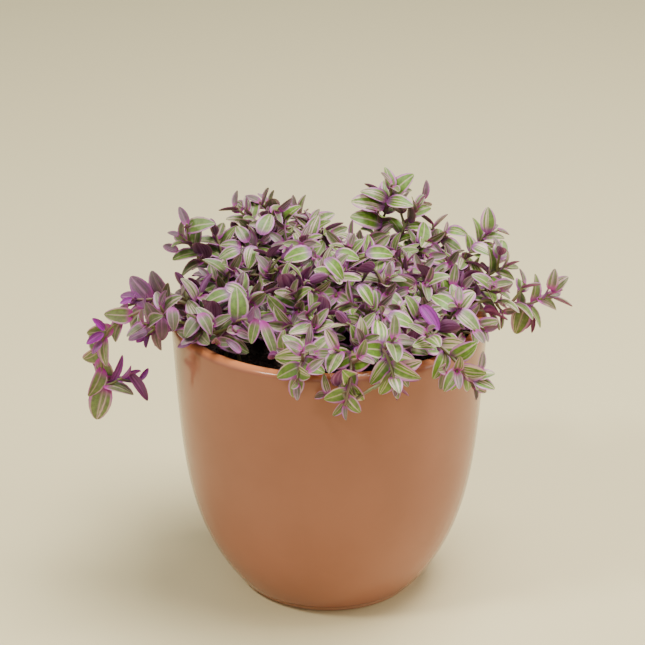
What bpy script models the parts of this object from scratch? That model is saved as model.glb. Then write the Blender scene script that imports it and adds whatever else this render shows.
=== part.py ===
"""A turtle vine in a glazed pot: a turned ceramic pot, its potting soil, and the leafy stems in it.

Lengths are in metres. The pot stands on z = 0, its axis goes through the origin and its front faces -Y.
"""

import math
import random

import bmesh
import bpy
import numpy as np
from mathutils import Matrix, Vector
from mathutils.bvhtree import BVHTree

MM = 0.001

# The pot: a low turned foot, a full belly and a rounded rim
RIM_RADIUS = 67.5 * MM
POT_HEIGHT = 124.0 * MM
FOOT_RADIUS = 38.2 * MM
FOOT_HEIGHT = 1.7 * MM
FOOT_GROOVE = 0.7 * MM
FOOT_CHAMFER = 0.6 * MM
BODY_START = 3.6 * MM
WALL = 6.0 * MM
FLOOR = 7.0 * MM
BELLY_SHARE = 0.77
BELLY_POWER = 4.6
BODY_RINGS = 8
INSIDE_RINGS = 4
RIM_ARC_STEPS = 4
TURN_STEPS = 36

# The soil, which keeps a small gap to the pot all round
SOIL_EDGE = 111.0 * MM
SOIL_DOME = 3.0 * MM
SEAT_GAP = 0.3 * MM

# The stems: round, each with its root in a plain hole in the soil
STEM_RADIUS = 0.9 * MM
STEM_TIP_SHARE = 0.7
STEM_STEP = 14.0 * MM
BEAD_STEP = 1.5 * MM
STEM_CLEARANCE = 2.7 * MM
ROOT_DEPTH = 7.0 * MM
ROOT_COLLAR = 3.0 * MM
ROOT_TRIES = 40
ROOT_SHIFT = 0.35 * MM
HOLE_RADIUS = 1.45 * MM
HOLE_SIDES = 6

# The leaves: pointed ovals, keeled along the rib and arched over, with the shares at each ring of corners
LEAF_LENGTH = 12.0 * MM
LEAF_WIDTH = 7.6 * MM
LEAF_THICKNESS = 0.9 * MM
RING_PLACES = [-0.05, 0.24, 0.62, 1.0]
RING_WIDTHS = [0.0, 0.94, 0.92, 0.0]
LEAF_ARCH = 0.50
ARCH_END = 0.60
LEAF_TURN = math.radians(158)
LIGHT_PULL = Vector((0.15, -0.9, 1.1))
LEAF_GAP = 0.25 * MM
POT_GAP = 0.9 * MM
LENGTH_PER_LEAF = 5.5 * MM
LEAF_TRIES = 16

# The leaves from a stem's tip down: distance from the tip in millimetres, size, and degrees off the stem
LEAF_ROUNDS = 26
TIP_SPACING = 1.5
SPACING_GROWTH = 0.40
FULL_SPACING = 5.1
BUD_SIZE = 0.52
SIZE_GROWTH = 0.12
BUD_SPREAD = 24
FULL_SPREAD = 62
SPREAD_RATE = 0.38
SPREAD_SHARES = {"left_trail": 0.62}

# The crown: short stems over the whole pot, whose tips make a low mound
CROWN_STEMS = 27
CROWN_RADIUS = 64.0 * MM
CROWN_TOP = 27.0 * MM
CROWN_EDGE = 4.0 * MM
# Ridges and dips on the mound, as (x, y), height and width in millimetres
RIDGES = [((-26, 42), 16, 21), ((50, 32), 9, 18), ((10, 52), -8, 15)]
CROWN_ROOT_SHARE = 0.70
CROWN_BEND_SHARE = 0.84
GOLDEN_ANGLE = math.radians(137.508)
BARE_SPOT = Vector((-31.0, -52.0)) * MM
BARE_RADIUS = 11.0 * MM
SEED = 20

# The longer stems, as (root x, y) and then (x, y, height over the rim) to the tip, in millimetres
LONG_STEMS = {
    "left_trail": (
        (-43, -6), (-64, -12, 10), (-78, -15, 7), (-89, -17, 2), (-95, -18, -5), (-96, -19, -15),
        (-95, -20, -25), (-84, -20, -20),
    ),
    "left_reach": ((-46, 4), (-66, 2, 7), (-76, -3, 7), (-83, -8, 9)),
    "left_front": ((-38, -26), (-50, -35, 7), (-57, -41, 4)),
    "left_lip": ((-44, -18), (-62, -25, 6), (-70, -29, 6), (-76, -31, 2)),
    "left_back": ((-40, 16), (-54, 24, 16), (-65, 26, 25)),
    "left_middle": ((-40, 24), (-46, 28, 14), (-50, 32, 25)),
    "peak_left": ((-26, 30), (-33, 38, 22), (-36, 40, 33)),
    "peak_middle": ((-12, 36), (-21, 46, 21), (-27, 50, 32)),
    "peak_right": ((0, 42), (-8, 52, 16), (-15, 56, 27)),
    "high_shoot": ((14, 34), (22, 42, 22), (29, 45, 40)),
    "high_twin": ((22, 28), (30, 38, 18), (39, 42, 34)),
    "right_peak": ((40, 20), (58, 26, 13), (69, 29, 26)),
    "right_back": ((32, 30), (44, 40, 12), (51, 44, 19)),
    "right_reach": ((48, 6), (65, 12, 10), (77, 14, 16)),
    "right_shoulder": ((42, 14), (60, 6, 7), (73, 2, 9)),
    "right_trail": ((46, -8), (66, -2, 6), (84, 6, 1), (95, 8, 5)),
    "right_lip": ((42, -18), (56, -26, 7), (64, -31, 5)),
    "front_right": ((30, -36), (42, -52, 8), (50, -60, 4), (58, -67, -5)),
    "front_spray": ((18, -40), (21, -58, 8), (24, -68, 6), (26, -74, -1)),
    "front_trail": ((8, -46), (9, -62, 8), (8, -74, 2), (6, -78, -8)),
    "front_middle": ((-6, -48), (-9, -61, 7), (-12, -69, 5), (-13, -75, 0)),
    "back_left": ((-26, 46), (-37, 62, 7), (-46, 72, -3), (-50, 76, -14)),
    "back_trail": ((16, 50), (20, 67, 7), (25, 78, -5), (27, 81, -18)),
}

# Single leaves with places of their own: stem, then base and tip as (x, y, height over the rim)
NAMED_LEAVES = [
    ("left_trail", (-95, -20, -25), (-99, -24, -40)),
    ("left_trail", (-84, -20, -20), (-76, -21, -32)),
    ("right_trail", (84, 6, 1), (80, 3, -12)),
]

POT_COLOUR = (0.45, 0.205, 0.115)
SOIL_COLOUR = (0.022, 0.014, 0.010)
LEAF_COLOUR = (0.25, 0.29, 0.14)


def add_material(piece, colour, roughness):
    """Give the piece a Principled material of its own."""
    material = bpy.data.materials.new(piece.name + "_finish")
    material.use_nodes = True
    shader = material.node_tree.nodes["Principled BSDF"]
    shader.inputs["Base Color"].default_value = (*colour, 1.0)
    shader.inputs["Roughness"].default_value = roughness
    shader.inputs["Metallic"].default_value = 0.0
    piece.data.materials.append(material)


def add_object(name, mesh, collection):
    """A new object for this mesh or curve, linked to the collection."""
    piece = bpy.data.objects.new(name, mesh)
    collection.objects.link(piece)
    return piece


def evaluated_mesh(piece):
    """The piece's mesh as its modifiers or its bevel make it."""
    bpy.context.view_layer.update()
    graph = bpy.context.evaluated_depsgraph_get()
    return bpy.data.meshes.new_from_object(piece.evaluated_get(graph))


def weld_caps(mesh):
    """Join a tube's loose end caps to its side."""
    work = bmesh.new()
    work.from_mesh(mesh)
    bmesh.ops.remove_doubles(work, verts=work.verts, dist=0.01 * MM)
    work.to_mesh(mesh)
    work.free()


def turned(name, profile, collection):
    """A solid turned round Z, from (radius, height) points that run down its outer side."""
    mesh = bpy.data.meshes.new(name)
    points = [(radius, 0.0, height) for radius, height in profile]
    mesh.from_pydata(points, [(i, i + 1) for i in range(len(points) - 1)], [])
    piece = add_object(name, mesh, collection)
    screw = piece.modifiers.new("Turn", "SCREW")
    screw.steps = TURN_STEPS
    screw.render_steps = TURN_STEPS
    screw.use_merge_vertices = True
    screw.merge_threshold = 0.01 * MM
    return piece


# The pot and its soil

def outer_radius(height):
    """The pot's outside radius at a height: a full belly that ends in a slight flare."""
    share = min(max(height / POT_HEIGHT, 0.0), 1.0)
    swell = BELLY_SHARE * (1 - (1 - share) ** BELLY_POWER) + (1 - BELLY_SHARE) * share
    return FOOT_RADIUS + (RIM_RADIUS - FOOT_RADIUS) * swell


def inner_radius(height):
    """The pot's inside radius: the outside less the wall."""
    return outer_radius(height) - WALL


def wall_heights():
    """Heights of the rings up the wall, closer together low down, where the belly turns most."""
    top = POT_HEIGHT - WALL / 2
    return [BODY_START + (top - BODY_START) * (i / BODY_RINGS) ** 1.5 for i in range(BODY_RINGS + 1)]


def inside_heights():
    """Heights of the rings inside, from the floor to the soil's edge, closer together low down."""
    return [FLOOR + (SOIL_EDGE - FLOOR) * (i / INSIDE_RINGS) ** 1.5 for i in range(INSIDE_RINGS + 1)]


def rim_arc():
    """Points over the rounded rim, from the inside to the outside."""
    middle = RIM_RADIUS - WALL / 2
    centre = POT_HEIGHT - WALL / 2
    angles = [math.pi * (1 - i / RIM_ARC_STEPS) for i in range(RIM_ARC_STEPS)]
    return [(middle + WALL / 2 * math.cos(a), centre + WALL / 2 * math.sin(a)) for a in angles]


def build_pot(collection):
    """The pot as one turned wall, from its inside floor over the rim and down to the foot."""
    inside = [(0.0, FLOOR)] + [(inner_radius(z), z) for z in inside_heights()]
    outside = [(outer_radius(z), z) for z in reversed(wall_heights())]
    foot = [
        (FOOT_RADIUS - FOOT_GROOVE, (FOOT_HEIGHT + BODY_START) / 2),
        (FOOT_RADIUS, FOOT_HEIGHT),
        (FOOT_RADIUS, FOOT_CHAMFER),
        (FOOT_RADIUS - FOOT_CHAMFER, 0.0),
        (0.0, 0.0),
    ]
    pot = turned("pot", inside + rim_arc() + outside + foot, collection)
    pot.data.shade_smooth()
    add_material(pot, POT_COLOUR, 0.15)


def soil_height(radius):
    """The soil's surface: a low dome."""
    return SOIL_EDGE + SOIL_DOME * (1 - (radius / inner_radius(SOIL_EDGE)) ** 2)


def build_soil(roots, collection, cutters):
    """The soil as one turned solid, with a plain hole for each root."""
    surface = [(share * inner_radius(SOIL_EDGE), 0) for share in (0.0, 0.5)]
    top = [(radius, soil_height(radius)) for radius, _ in surface]
    side = [(inner_radius(z) - SEAT_GAP, z) for z in reversed(inside_heights()[1:])]
    bottom = [(inner_radius(FLOOR + SEAT_GAP) - SEAT_GAP, FLOOR + SEAT_GAP), (0.0, FLOOR + SEAT_GAP)]
    soil = turned("soil", top + side + bottom, collection)
    add_material(soil, SOIL_COLOUR, 0.95)
    holes = soil.modifiers.new("Holes", "BOOLEAN")
    holes.operand_type = "COLLECTION"
    holes.collection = cutters
    holes.solver = "EXACT"
    for foot in roots:
        work = bmesh.new()
        depth = ROOT_DEPTH + SEAT_GAP
        bmesh.ops.create_cone(
            work,
            cap_ends=True,
            segments=HOLE_SIDES,
            radius1=HOLE_RADIUS,
            radius2=HOLE_RADIUS,
            depth=2 * depth,
        )
        mesh = bpy.data.meshes.new("hole")
        work.to_mesh(mesh)
        work.free()
        hole = add_object("hole", mesh, cutters)
        hole.location = foot + Vector((0, 0, depth - SEAT_GAP))
        hole.hide_render = True
        hole.display_type = "WIRE"


# The stems' routes

def smooth_line(points, step):
    """Points about a step apart on a smooth curve through these ones, after a first straight run."""
    ends = [*points, points[-1] * 2 - points[-2]]
    line = [points[0], points[1]]
    for before, start, stop, after in zip(ends, ends[1:], ends[2:], ends[3:]):
        count = max(1, round((stop - start).length / step))
        for i in range(1, count + 1):
            t = i / count
            pull = (stop - before) * t
            bend = (2 * before - 5 * start + 4 * stop - after) * t ** 2
            ease = (3 * start - before - 3 * stop + after) * t ** 3
            line.append(start + 0.5 * (pull + bend + ease))
    return line


def rooted_line(root, above):
    """A stem's line from the foot of its hole, up through the soil, and on through the points above it."""
    surface = soil_height(root.length)
    foot = root + Vector((0, 0, surface - ROOT_DEPTH))
    collar = root + Vector((0, 0, surface + ROOT_COLLAR))
    return smooth_line([foot, collar, *above], STEM_STEP)


def mound_lift(place):
    """The mound's height over the rim at a place: a dome with ridges on it."""
    lift = CROWN_EDGE + (CROWN_TOP - CROWN_EDGE) * (1 - (place.length / CROWN_RADIUS) ** 2)
    for (x, y), height, width in RIDGES:
        away = (place - Vector((x, y, 0)) * MM).length / (width * MM)
        lift += height * MM * math.exp(-away ** 2)
    return lift


def crown_routes():
    """The mound's short stems: tips on a sunflower's spiral, each leaning out from its root."""
    draw = random.Random(SEED)
    routes = {}
    for i in range(CROWN_STEMS):
        reach = CROWN_RADIUS * math.sqrt((i + 0.5) / CROWN_STEMS)
        out = Vector((math.cos(i * GOLDEN_ANGLE), math.sin(i * GOLDEN_ANGLE), 0.0))
        lift = mound_lift(out * reach) + draw.uniform(-3, 4) * MM
        sway = Vector((draw.uniform(-2, 2), draw.uniform(-2, 2), 0.0)) * MM
        bend = out * reach * CROWN_BEND_SHARE + sway + Vector((0, 0, POT_HEIGHT + 0.45 * lift))
        tip = out * reach + Vector((0, 0, POT_HEIGHT + lift))
        if (tip.xy - BARE_SPOT).length > BARE_RADIUS:
            root = out * reach * CROWN_ROOT_SHARE
            routes[f"crown_{i + 1:02d}"] = (root, [bend, tip])
    return routes


def long_routes():
    """The longer stems' routes, in metres."""
    routes = {}
    for name, (root, *points) in LONG_STEMS.items():
        above = [Vector((x * MM, y * MM, POT_HEIGHT + z * MM)) for x, y, z in points]
        routes[name] = (Vector((*root, 0)) * MM, above)
    return routes


def line_length(line):
    """The length along a line."""
    return sum((stop - start).length for start, stop in zip(line, line[1:]))


def beads(line):
    """Points closely spaced along the line, as an array."""
    points = []
    for start, stop in zip(line, line[1:]):
        count = math.ceil((stop - start).length / BEAD_STEP)
        points += [start.lerp(stop, i / count) for i in range(count)]
    return np.array([*points, line[-1]])


def clears_pot(points, gap):
    """True if all these points keep this far off the pot's wall and rim and off the soil."""
    for point in points:
        radius = math.hypot(point[0], point[1])
        if point[2] > POT_HEIGHT + gap:
            continue
        outside = radius > outer_radius(point[2]) + gap
        inside = radius < inner_radius(point[2]) - gap and point[2] > soil_height(radius) + gap
        if not (outside or inside):
            return False
    return True


def lay_stems():
    """Each stem's line, by name. A root, or a whole short stem, moves until it clears those before."""
    draw = random.Random(SEED + 1)
    lines = {}
    taken = np.full((1, 3), 10.0)
    for name, (root, above) in {**long_routes(), **crown_routes()}.items():
        for attempt in range(ROOT_TRIES):
            angle = draw.uniform(0, 2 * math.pi)
            shift = Vector((math.cos(angle), math.sin(angle), 0)) * ROOT_SHIFT * attempt
            moved = above if name in LONG_STEMS else [point + shift for point in above]
            line = rooted_line(root + shift, moved)
            own = beads(line)
            apart = np.linalg.norm(own[:, None] - taken[None], axis=2).min()
            over_soil = own[np.linalg.norm(own - own[0], axis=1) > ROOT_DEPTH + ROOT_COLLAR]
            if apart > STEM_CLEARANCE and clears_pot(over_soil, STEM_RADIUS + POT_GAP / 2):
                lines[name] = line
                taken = np.vstack([taken, own])
                break
    return lines


# The leaves

def blade_template():
    """A three-sided ball along X, with its lower corners in a row for the keel and a ring a section."""
    work = bmesh.new()
    bmesh.ops.create_uvsphere(work, u_segments=3, v_segments=len(RING_PLACES) - 1, radius=1.0)
    upright = Matrix.Rotation(-math.pi / 2, 3, "X") @ Matrix.Rotation(math.pi / 2, 3, "Y")
    bmesh.ops.rotate(work, verts=work.verts, matrix=upright)
    bmesh.ops.triangulate(work, faces=work.faces)
    mesh = bpy.data.meshes.new("blade")
    work.to_mesh(mesh)
    work.free()
    return mesh


def blade_corners(template, length, margin):
    """Where a leaf of this length has its corners: widened, keeled along the rib and arched over."""
    corners = []
    for vertex in template.vertices:
        ring = round(math.acos(max(-1.0, min(1.0, -vertex.co.x))) / math.pi * (len(RING_PLACES) - 1))
        along = RING_PLACES[ring]
        half = RING_WIDTHS[ring] * LEAF_WIDTH * length / LEAF_LENGTH / 2 + margin
        arch = LEAF_ARCH * length * along * (ARCH_END - along)
        if RING_WIDTHS[ring] == 0:
            corners.append(Vector((along * length + math.copysign(margin, along), 0, arch)))
        elif abs(vertex.co.y) > abs(vertex.co.z):
            corners.append(Vector((along * length, math.copysign(half, vertex.co.y), arch + margin)))
        else:
            corners.append(Vector((along * length, 0, arch - LEAF_THICKNESS - margin)))
    return corners


def leaf_place(base, stem_way, around, spread):
    """The leaf's matrix: X along it, and Z its upper face, which turns most of the way to the light."""
    aside = stem_way.cross(Vector((0, 0, 1)))
    if aside.length < 0.05:
        aside = stem_way.cross(Vector((1, 0, 0)))
    aside = Matrix.Rotation(around, 3, stem_way) @ aside.normalized()
    way = stem_way * math.cos(spread) + aside * math.sin(spread)
    face = stem_way * math.sin(spread) - aside * math.cos(spread) + LIGHT_PULL
    across = face.cross(way).normalized()
    turn = Matrix((way, across, way.cross(across))).transposed()
    return Matrix.Translation(base) @ turn.to_4x4()


def named_place(base, tip):
    """The matrix of a leaf from base to tip, turned to the light."""
    way = (tip - base).normalized()
    across = LIGHT_PULL.cross(way).normalized()
    turn = Matrix((way, across, way.cross(across))).transposed()
    return Matrix.Translation(base) @ turn.to_4x4()


def back_from_tip(line, distance):
    """The point this far back from the line's tip, and the way the stem grows there."""
    for start, stop in zip(line[-2:0:-1], line[:1:-1]):
        span = (stop - start).length
        if distance <= span:
            return stop.lerp(start, distance / span), (stop - start).normalized()
        distance -= span
    return None, None


class Leaf:
    """A leaf of a stem, with what it takes up for telling whether another one would cross it."""

    def __init__(self, template, owner, place, length):
        self.owner = owner
        self.place = place
        self.length = length
        faces = [tuple(face.vertices) for face in template.polygons]
        wide = [place @ corner for corner in blade_corners(template, length, LEAF_GAP)]
        true = [place @ corner for corner in blade_corners(template, length, 0.0)]
        base = min(range(len(wide)), key=lambda i: (true[i] - place.translation).length)
        self.corners = wide
        self.tree = BVHTree.FromPolygons(wide, faces)
        self.blade = BVHTree.FromPolygons(true, [face for face in faces if base not in face])
        self.centre = place @ Vector((length / 2, 0, 0))

    def clears(self, other):
        """True if this leaf and the other keep apart; leaves of one stem may meet where they clasp it."""
        if self.owner == other.owner:
            return not self.blade.overlap(other.blade)
        return not self.tree.overlap(other.tree)

    def outline(self):
        """Points over the leaf: its corners, and the middles between them and its centre line."""
        middles = [(a + b) / 2 for i, a in enumerate(self.corners) for b in self.corners[:i]]
        return self.corners + middles


def grow_leaves(lines, template):
    """The leaves of every stem, from the tips down, each turned until it is clear of all else."""
    draw = random.Random(SEED + 2)
    starts = {name: draw.uniform(0, 2 * math.pi) for name in lines}
    stem_beads = {name: beads(line) for name, line in lines.items()}
    wanted = {name: round(line_length(line) / LENGTH_PER_LEAF) for name, line in lines.items()}
    leaves = []
    for name, *ends in NAMED_LEAVES:
        base, tip = (Vector((x * MM, y * MM, POT_HEIGHT + z * MM)) for x, y, z in ends)
        leaves.append(Leaf(template, name, named_place(base, tip), (tip - base).length))
    distance = 0.4
    for order in range(LEAF_ROUNDS):
        size = min(1.0, BUD_SIZE + SIZE_GROWTH * order)
        spread = FULL_SPREAD - (FULL_SPREAD - BUD_SPREAD) * math.exp(-SPREAD_RATE * order)
        for name, line in lines.items():
            base, way = back_from_tip(line, distance * MM)
            full = sum(leaf.owner == name for leaf in leaves) >= wanted[name]
            if base is None or full or not clears_pot([base], POT_GAP):
                continue
            others = np.vstack([own for owner, own in stem_beads.items() if owner != name])
            length = LEAF_LENGTH * size * draw.uniform(0.9, 1.08)
            lean = spread * SPREAD_SHARES.get(name, 1)
            for attempt in range(LEAF_TRIES):
                loose = attempt / LEAF_TRIES
                swing = draw.uniform(-1, 1) * math.radians(15 + 150 * loose)
                around = starts[name] + order * LEAF_TURN + swing
                tilt = math.radians(lean + draw.uniform(-1, 1) * (8 + 22 * loose))
                leaf = Leaf(template, name, leaf_place(base, way, around, tilt), length)
                if has_room(leaf, leaves, others):
                    leaves.append(leaf)
                    break
        distance += min(FULL_SPACING, TIP_SPACING + SPACING_GROWTH * order)
    return leaves


def has_room(leaf, leaves, others):
    """True if the leaf clears the pot and soil, the other stems and every other leaf."""
    if not clears_pot(leaf.outline(), POT_GAP):
        return False
    near = others[np.linalg.norm(others - np.array(leaf.centre), axis=1) < leaf.length]
    reach = STEM_RADIUS + 2 * LEAF_GAP
    if any(leaf.tree.find_nearest(Vector(bead), reach)[0] for bead in near):
        return False
    if not leaves:
        return True
    apart = np.linalg.norm(np.array([other.centre for other in leaves]) - np.array(leaf.centre), axis=1)
    return all(leaf.clears(leaves[i]) for i in np.flatnonzero(apart < 1.3 * LEAF_LENGTH))


def stem_mesh(name, line):
    """A round stem along the line, thinner at its tip, as one closed mesh."""
    curve = bpy.data.curves.new(name, "CURVE")
    curve.dimensions = "3D"
    curve.bevel_depth = STEM_RADIUS
    curve.bevel_resolution = 0
    curve.use_fill_caps = True
    spline = curve.splines.new("POLY")
    spline.points.add(len(line) - 1)
    for i, (point, place) in enumerate(zip(spline.points, line)):
        point.co = (*place, 1.0)
        point.radius = 1 - (1 - STEM_TIP_SHARE) * i / (len(line) - 1)
    guide = add_object(name, curve, bpy.context.scene.collection)
    mesh = evaluated_mesh(guide)
    weld_caps(mesh)
    bpy.data.objects.remove(guide)
    bpy.data.curves.remove(curve)
    return mesh


def build_leafy_stem(name, line, leaves, template, collection):
    """A stem and its leaves as one body."""
    stem = add_object("plain_" + name, stem_mesh(name, line), bpy.context.scene.collection)
    group = bpy.data.collections.new(name + "_leaves")
    bpy.context.scene.collection.children.link(group)
    for leaf in leaves:
        mesh = template.copy()
        for vertex, corner in zip(mesh.vertices, blade_corners(template, leaf.length, 0.0)):
            vertex.co = leaf.place @ corner
        add_object("leaf", mesh, group)
    union = stem.modifiers.new("Leaves", "BOOLEAN")
    union.operation = "UNION"
    union.operand_type = "COLLECTION"
    union.collection = group
    union.solver = "EXACT"
    body = add_object(name, evaluated_mesh(stem), collection)
    add_material(body, LEAF_COLOUR, 0.5)
    for loose in [stem, *group.objects]:
        bpy.data.objects.remove(loose)
    bpy.data.collections.remove(group)
    return body


def main():
    """Clear the scene and build the potted plant."""
    for old in list(bpy.data.objects):
        bpy.data.objects.remove(old)
    collection = bpy.data.collections.new("potted_turtle_vine")
    cutters = bpy.data.collections.new("cutters")
    bpy.context.scene.collection.children.link(collection)
    bpy.context.scene.collection.children.link(cutters)
    lines = lay_stems()
    template = blade_template()
    leaves = grow_leaves(lines, template)
    build_pot(collection)
    build_soil([line[0] for line in lines.values()], collection, cutters)
    for name, line in lines.items():
        own = [leaf for leaf in leaves if leaf.owner == name]
        build_leafy_stem(name, line, own, template, collection)


main()
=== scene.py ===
import math
import random

import bmesh
import bpy
import numpy as np
from bpy.props import FloatProperty, FloatVectorProperty, IntProperty, PointerProperty
from mathutils import Matrix, Vector
from mathutils.bvhtree import BVHTree


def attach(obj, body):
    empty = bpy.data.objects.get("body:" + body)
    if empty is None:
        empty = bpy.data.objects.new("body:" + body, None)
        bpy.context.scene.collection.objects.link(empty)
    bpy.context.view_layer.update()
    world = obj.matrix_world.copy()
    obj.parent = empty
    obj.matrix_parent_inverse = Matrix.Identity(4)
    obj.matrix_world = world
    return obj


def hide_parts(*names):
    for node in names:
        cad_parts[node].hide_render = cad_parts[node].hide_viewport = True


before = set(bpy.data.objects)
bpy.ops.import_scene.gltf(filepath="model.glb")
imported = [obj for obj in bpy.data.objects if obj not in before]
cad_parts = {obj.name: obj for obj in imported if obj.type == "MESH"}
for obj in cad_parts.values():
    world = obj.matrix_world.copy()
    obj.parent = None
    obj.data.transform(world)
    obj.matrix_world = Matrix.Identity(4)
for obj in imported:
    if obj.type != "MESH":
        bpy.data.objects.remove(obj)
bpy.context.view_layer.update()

bl_info = {
    "name": "Potted turtle vine",
    "version": (1, 0, 0),
    "blender": (4, 5, 0),
    "location": "View3D > Sidebar > Turtle Vine",
    "description": "Dresses the potted vine: glazed pot, crumbly soil, striped leaves on trailing stems",
    "category": "Object",
}

MM = 0.001

# The pot, as in the solids: a low turned foot, a full belly and a rounded rim
RIM_RADIUS = 67.5 * MM
POT_HEIGHT = 124.0 * MM
FOOT_RADIUS = 38.2 * MM
FOOT_HEIGHT = 1.7 * MM
FOOT_GROOVE = 0.7 * MM
BODY_START = 3.6 * MM
WALL = 6.0 * MM
FLOOR = 7.0 * MM
BELLY_SHARE = 0.77
BELLY_POWER = 4.6

# The soil, as in the solids
SOIL_EDGE = 111.0 * MM
SOIL_DOME = 3.0 * MM
SEAT_GAP = 0.3 * MM

# The finer profiles and the soil's roughness, which only the dressed part has
GROOVE_HEIGHT = 2.6 * MM
FOOT_ROUND = 0.6 * MM
WALL_LEVELS = 40
SOIL_STEPS = 120
DOME_RINGS = 34
SOIL_LEVELS = 8
SOIL_ROUGHNESS = 5.0 * MM
MOST_TURNED = (6.3, 6.3, 6.3)

# The stems and leaves, as in the solids
STEM_RADIUS = 0.9 * MM
STEM_STEP = 14.0 * MM
BEAD_STEP = 1.5 * MM
STEM_CLEARANCE = 2.7 * MM
ROOT_DEPTH = 7.0 * MM
ROOT_COLLAR = 3.0 * MM
ROOT_TRIES = 40
ROOT_SHIFT = 0.35 * MM
LEAF_LENGTH = 12.0 * MM
LEAF_REACH = 1.3 * LEAF_LENGTH
LEAF_WIDTH = 7.6 * MM
LEAF_THICKNESS = 0.9 * MM
RING_PLACES = [-0.05, 0.24, 0.62, 1.0]
RING_WIDTHS = [0.0, 0.94, 0.92, 0.0]
LEAF_ARCH = 0.50
ARCH_END = 0.60
LEAF_TURN = math.radians(158)
LIGHT_PULL = Vector((0.15, -0.9, 1.1))
LEAF_GAP = 0.25 * MM
POT_GAP = 0.9 * MM
LENGTH_PER_LEAF = 5.5 * MM
LEAF_TRIES = 16
LEAF_ROUNDS = 26
# From the tip down: spacings in millimetres, sizes as shares of a full leaf, spreads in degrees
TIP_SPACING = 1.5
SPACING_GROWTH = 0.40
FULL_SPACING = 5.1
FIRST_LEAF = 0.4
LENGTH_RANGE = (0.9, 1.08)
LEAF_SIZES = (0.52, 1.0)
SIZE_GROWTH = 0.12
LEAF_SPREADS = (24, 62)
SPREAD_RATE = 0.38
SPREAD_SHARES = {"left_trail": 0.62}
# How far a leaf's turn and tilt wander, in degrees: at the first try, and about what the last adds
TURN_WANDER = (15, 150)
TILT_WANDER = (8, 22)
CROWN_STEMS = 27
CROWN_RADIUS = 64.0 * MM
CROWN_TOP = 27.0 * MM
CROWN_EDGE = 4.0 * MM
# Ridges and dips on the mound, as (x, y), height and width in millimetres
RIDGES = [((-26, 42), 16, 21), ((50, 32), 9, 18), ((10, 52), -8, 15)]
CROWN_ROOT_SHARE = 0.70
CROWN_BEND_SHARE = 0.84
GOLDEN_ANGLE = math.radians(137.508)
BARE_SPOT = Vector((-31.0, -52.0)) * MM
BARE_RADIUS = 11.0 * MM
SEED = 20
LONG_STEMS = {
    "left_trail": (
        (-43, -6), (-64, -12, 10), (-78, -15, 7), (-89, -17, 2), (-95, -18, -5), (-96, -19, -15),
        (-95, -20, -25), (-84, -20, -20),
    ),
    "left_reach": ((-46, 4), (-66, 2, 7), (-76, -3, 7), (-83, -8, 9)),
    "left_front": ((-38, -26), (-50, -35, 7), (-57, -41, 4)),
    "left_lip": ((-44, -18), (-62, -25, 6), (-70, -29, 6), (-76, -31, 2)),
    "left_back": ((-40, 16), (-54, 24, 16), (-65, 26, 25)),
    "left_middle": ((-40, 24), (-46, 28, 14), (-50, 32, 25)),
    "peak_left": ((-26, 30), (-33, 38, 22), (-36, 40, 33)),
    "peak_middle": ((-12, 36), (-21, 46, 21), (-27, 50, 32)),
    "peak_right": ((0, 42), (-8, 52, 16), (-15, 56, 27)),
    "high_shoot": ((14, 34), (22, 42, 22), (29, 45, 40)),
    "high_twin": ((22, 28), (30, 38, 18), (39, 42, 34)),
    "right_peak": ((40, 20), (58, 26, 13), (69, 29, 26)),
    "right_back": ((32, 30), (44, 40, 12), (51, 44, 19)),
    "right_reach": ((48, 6), (65, 12, 10), (77, 14, 16)),
    "right_shoulder": ((42, 14), (60, 6, 7), (73, 2, 9)),
    "right_trail": ((46, -8), (66, -2, 6), (84, 6, 1), (95, 8, 5)),
    "right_lip": ((42, -18), (56, -26, 7), (64, -31, 5)),
    "front_right": ((30, -36), (42, -52, 8), (50, -60, 4), (58, -67, -5)),
    "front_spray": ((18, -40), (21, -58, 8), (24, -68, 6), (26, -74, -1)),
    "front_trail": ((8, -46), (9, -62, 8), (8, -74, 2), (6, -78, -8)),
    "front_middle": ((-6, -48), (-9, -61, 7), (-12, -69, 5), (-13, -75, 0)),
    "back_left": ((-26, 46), (-37, 62, 7), (-46, 72, -3), (-50, 76, -14)),
    "back_trail": ((16, 50), (20, 67, 7), (25, 78, -5), (27, 81, -18)),
}

# Single leaves of the solids: stem, then base and tip as (x, y, height over the rim) in millimetres
NAMED_LEAVES = [
    ("left_trail", (-95, -20, -25), (-99, -24, -40)),
    ("left_trail", (-84, -20, -20), (-76, -21, -32)),
    ("right_trail", (84, 6, 1), (80, 3, -12)),
]

# How old a single leaf looks, counted in leaves from a shoot's tip
SINGLE_ORDER = 6

# The side shoots and twigs, which only the dressed plant has
SIDE_SHOOTS = 230
SIDE_RADIUS = 73.0 * MM
SIDE_SPACING = 5.0 * MM
SIDE_BARE_RADIUS = 9.0 * MM
SIDE_LENGTHS = (9.0 * MM, 34.0 * MM)
SIDE_STEM_RADIUS = 0.65 * MM
SIDE_STEP = 5.0 * MM
SIDE_PULL = Vector((0.1, -0.62, 1.3))
SIDE_SPREADS = (42, 78)
BACK_START = 24.0 * MM
REAR_PULL = 1.9
SIDE_SIZES = (0.66, 1.1)
SIDE_LENGTH_PER_LEAF = 2.2 * MM
SHORT_LENGTH_PER_LEAF = 4.0 * MM
SLACK = 0.40
FREE_BEADS = 4
TWIG_PLACES = (6, 12, 19, 27)
TWIG_LENGTHS = (7.0 * MM, 11.0 * MM)
TWIG_STEP = 4.0 * MM
BARE_TWIGS = (("left_trail", 1), ("left_trail", 2))

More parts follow.
